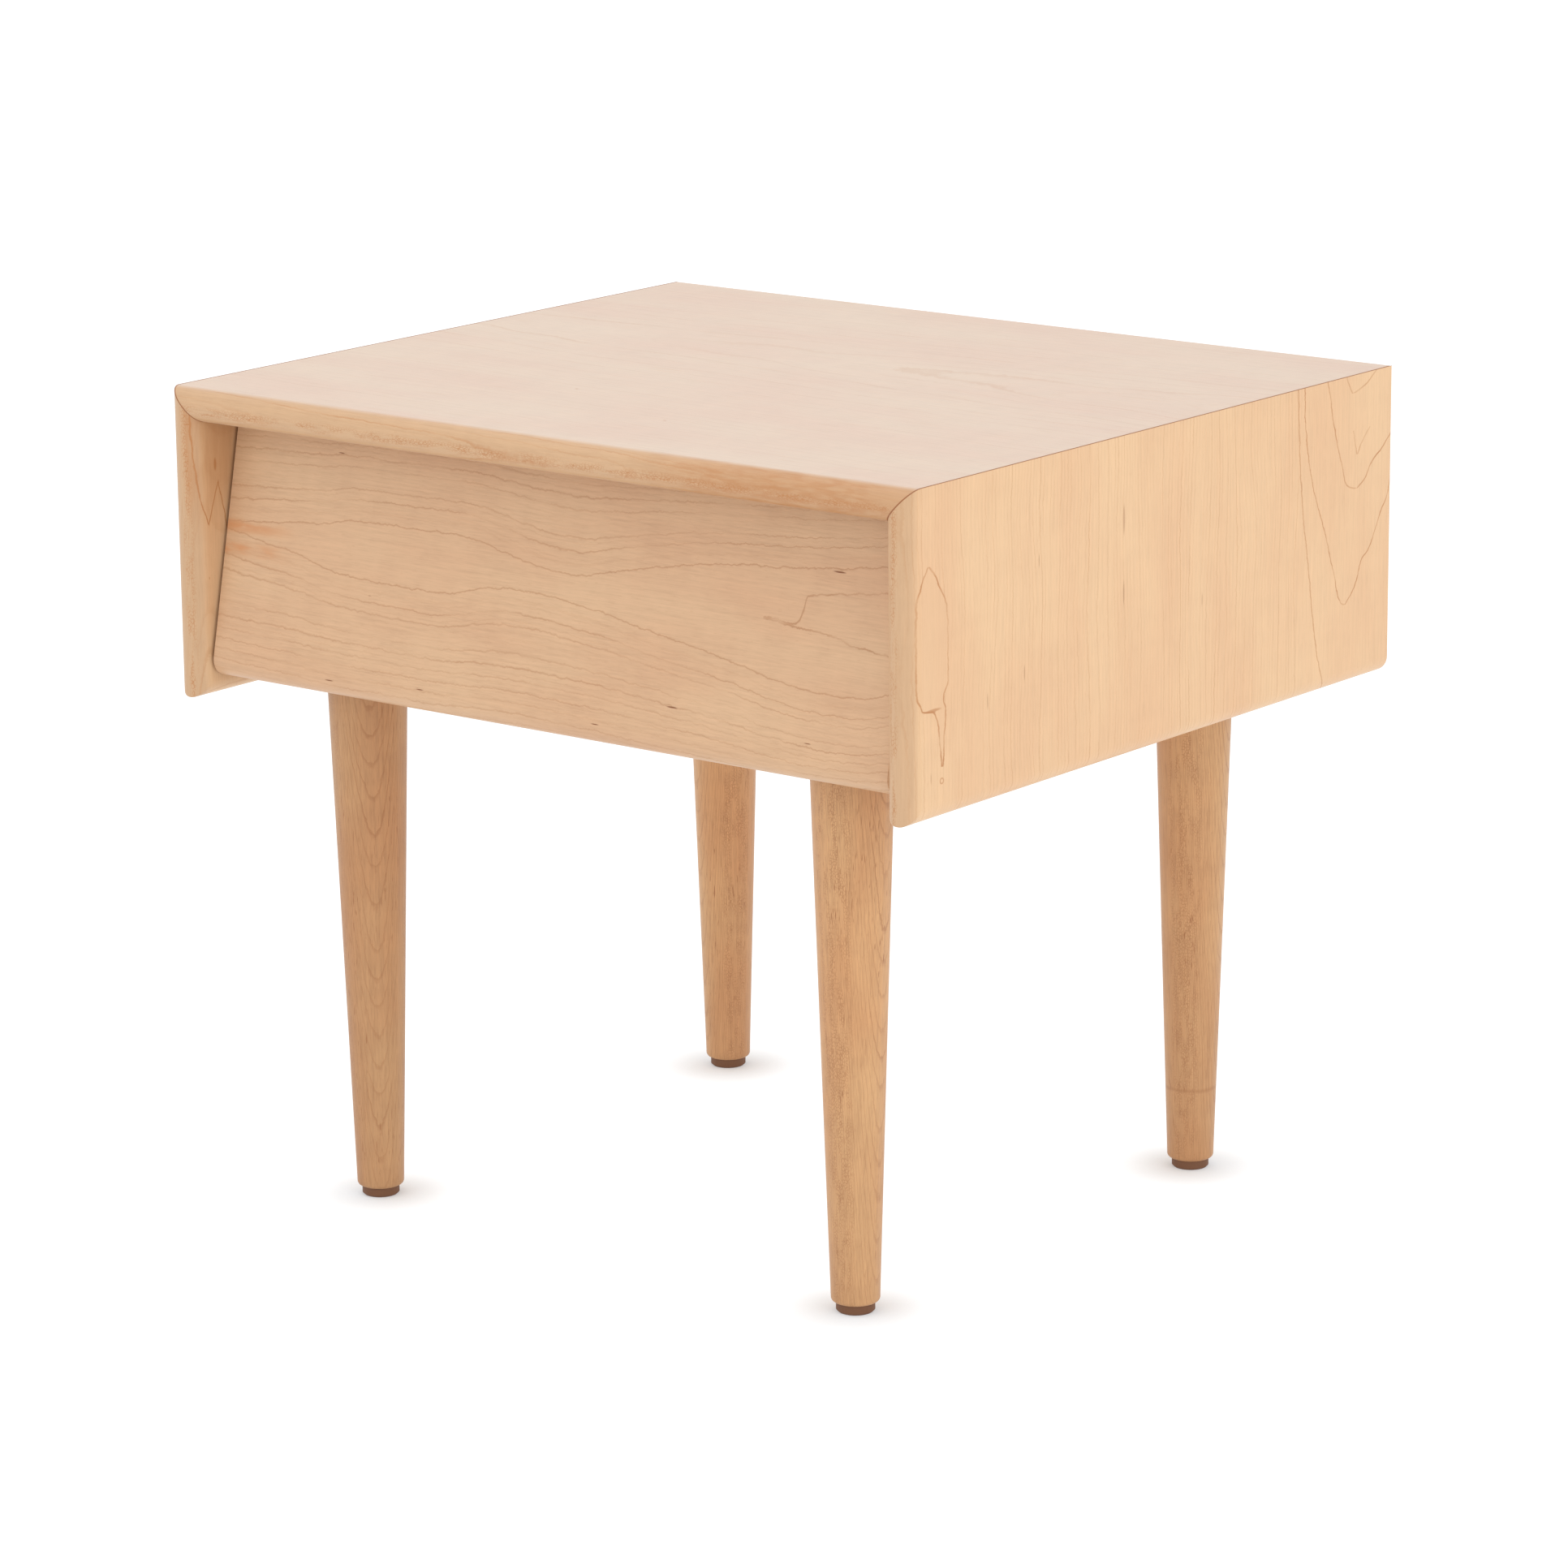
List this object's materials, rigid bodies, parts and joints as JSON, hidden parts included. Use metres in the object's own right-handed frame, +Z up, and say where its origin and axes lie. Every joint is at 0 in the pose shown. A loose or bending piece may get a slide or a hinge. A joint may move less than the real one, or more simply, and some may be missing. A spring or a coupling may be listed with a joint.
{
  "type": "side table with drawer",
  "caption": "Wooden side table: mitred case with rounded front edges, a slanted drawer front with a finger lip underneath, and round tapered legs with foot glides.",
  "frame": {"origin": "on the floor, under the middle of the table's width and depth", "axes": "+X along the width, to the right as seen from the front; +Y from the front to the back, so that the drawer opens along -Y; +Z up"},
  "size_m": [0.56, 0.485, 0.508],
  "materials": {
    "maple_top": "satin",
    "maple_side": "satin",
    "maple_drawer_front": "satin",
    "maple_case_inner": "satin",
    "maple_box": "satin",
    "maple_leg": "satin",
    "plywood": "matte",
    "slide_steel": "satin",
    "plate_steel": "satin",
    "zinc_steel": "satin",
    "nylon": "matte",
    "clip_plastic": "matte",
    "glide": "matte"
  },
  "bodies": {
    "case": {"back_panel": "maple_case_inner", "bottom_panel": "maple_case_inner", "front_left_glide": "glide", "front_left_leg": "maple_leg", "front_left_leg_plate": "plate_steel", "front_right_glide": "glide", "front_right_leg": "maple_leg", "front_right_leg_plate": "plate_steel", "glide_screws": "zinc_steel", "hanger_bolts": "zinc_steel", "left_fixed_rail": "slide_steel", "left_mitre_spline": "plywood", "left_side_panel": "maple_side", "plate_screws": "zinc_steel", "rail_screws": "zinc_steel", "rear_left_glide": "glide", "rear_left_leg": "maple_leg", "rear_left_leg_plate": "plate_steel", "rear_right_glide": "glide", "rear_right_leg": "maple_leg", "rear_right_leg_plate": "plate_steel", "right_fixed_rail": "slide_steel", "right_mitre_spline": "plywood", "right_side_panel": "maple_side", "top_panel": "maple_top"},
    "left_slide_middle": {"left_middle_rail": "slide_steel", "left_slide_pads": "nylon"},
    "right_slide_middle": {"right_middle_rail": "slide_steel", "right_slide_pads": "nylon"},
    "drawer": {"back_screws": "zinc_steel", "clip_screws": "zinc_steel", "drawer_back": "maple_box", "drawer_bottom": "plywood", "drawer_box_front": "maple_box", "drawer_front": "maple_drawer_front", "front_screws": "zinc_steel", "left_drawer_rail": "slide_steel", "left_drawer_side": "maple_box", "left_front_clip": "clip_plastic", "right_drawer_rail": "slide_steel", "right_drawer_side": "maple_box", "right_front_clip": "clip_plastic"}
  },
  "joints": [
    {"name": "drawer_slide", "type": "slide", "parent": "case", "child": "drawer", "axis": [0, -1, 0], "range_m": [0, 0.36]},
    {"name": "left_middle_rail_slide", "type": "slide", "parent": "case", "child": "left_slide_middle", "axis": [0, -1, 0], "range_m": [0, 0.18]},
    {"name": "right_middle_rail_slide", "type": "slide", "parent": "case", "child": "right_slide_middle", "axis": [0, -1, 0], "range_m": [0, 0.18]}
  ],
  "couplings": [
    {"joint": "left_middle_rail_slide", "follows": "drawer_slide", "ratio": 0.5},
    {"joint": "right_middle_rail_slide", "follows": "drawer_slide", "ratio": 0.5}
  ]
}
